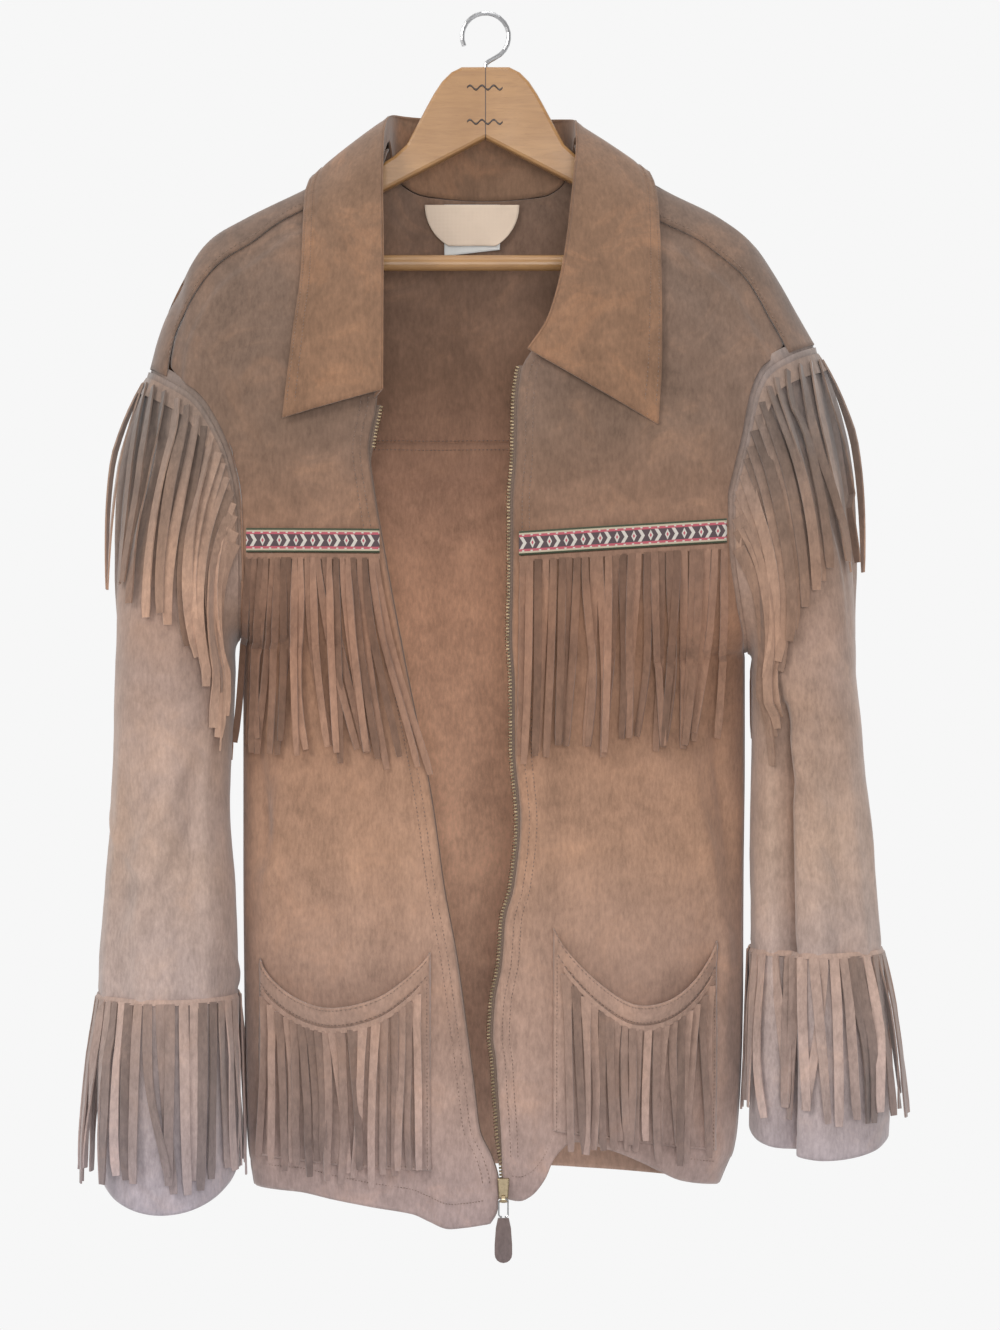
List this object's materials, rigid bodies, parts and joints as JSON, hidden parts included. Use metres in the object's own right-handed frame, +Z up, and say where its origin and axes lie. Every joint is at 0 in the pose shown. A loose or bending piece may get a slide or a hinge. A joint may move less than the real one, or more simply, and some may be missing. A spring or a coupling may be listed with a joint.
{
  "type": "fringe jacket on hanger",
  "caption": "Open-fronted brushed suede jacket with long-pointed collar, cut fringe on chest, armholes, pockets, cuffs and back, hanging on a wooden coat hanger with a wire hook",
  "frame": {"origin": "the inside top of the hanger's wire hook, where a rail carries it", "axes": "+Z up, the longest extent; the jacket's front faces -Y, the shortest extent; +X is the wearer's left"},
  "size_m": [0.6238, 0.1365, 0.9384],
  "materials": {
    "suede": "brushed suede cloth, matt with a soft nap",
    "suede_fringe": "brushed suede cloth cut in strands, matt",
    "braid": "woven jacquard braid, matt",
    "zip_tape": "woven tape, matt",
    "brass": "worn satin",
    "steel": "satin",
    "leather": "suede leather, matt",
    "label": "woven label, matt",
    "wood": "clear varnish, satin"
  },
  "bodies": {
    "jacket": {"front_right": "suede", "front_left": "suede", "yoke": "suede", "back": "suede", "sleeve_right": "suede", "sleeve_left": "suede", "collar": "suede", "pocket_right": "suede", "pocket_left": "suede", "chest_fringe_right": "suede_fringe", "chest_fringe_left": "suede_fringe", "armhole_fringe_right": "suede_fringe", "armhole_fringe_left": "suede_fringe", "pocket_fringe_right": "suede_fringe", "pocket_fringe_left": "suede_fringe", "cuff_fringe_right": "suede_fringe", "cuff_fringe_left": "suede_fringe", "back_fringe": "suede_fringe", "braid_right": "braid", "braid_left": "braid", "zip_tape_right": "zip_tape", "zip_tape_left": "zip_tape", "zip_slider": "brass", "neck_label": "label", "care_label": "label", "hanger_wood": "wood", "hanger_bar": "wood", "hanger_hook": "steel"},
    "zip_pull": {"zip_pull_wire": "steel", "zip_pull_tag": "leather"}
  },
  "joints": [
    {"name": "zip_pull_hinge", "type": "hinge", "parent": "jacket", "child": "zip_pull", "pos_m": [0.0135, -0.06336, -0.888], "axis": [1, 0, 0], "range_deg": [-140, 2]}
  ]
}
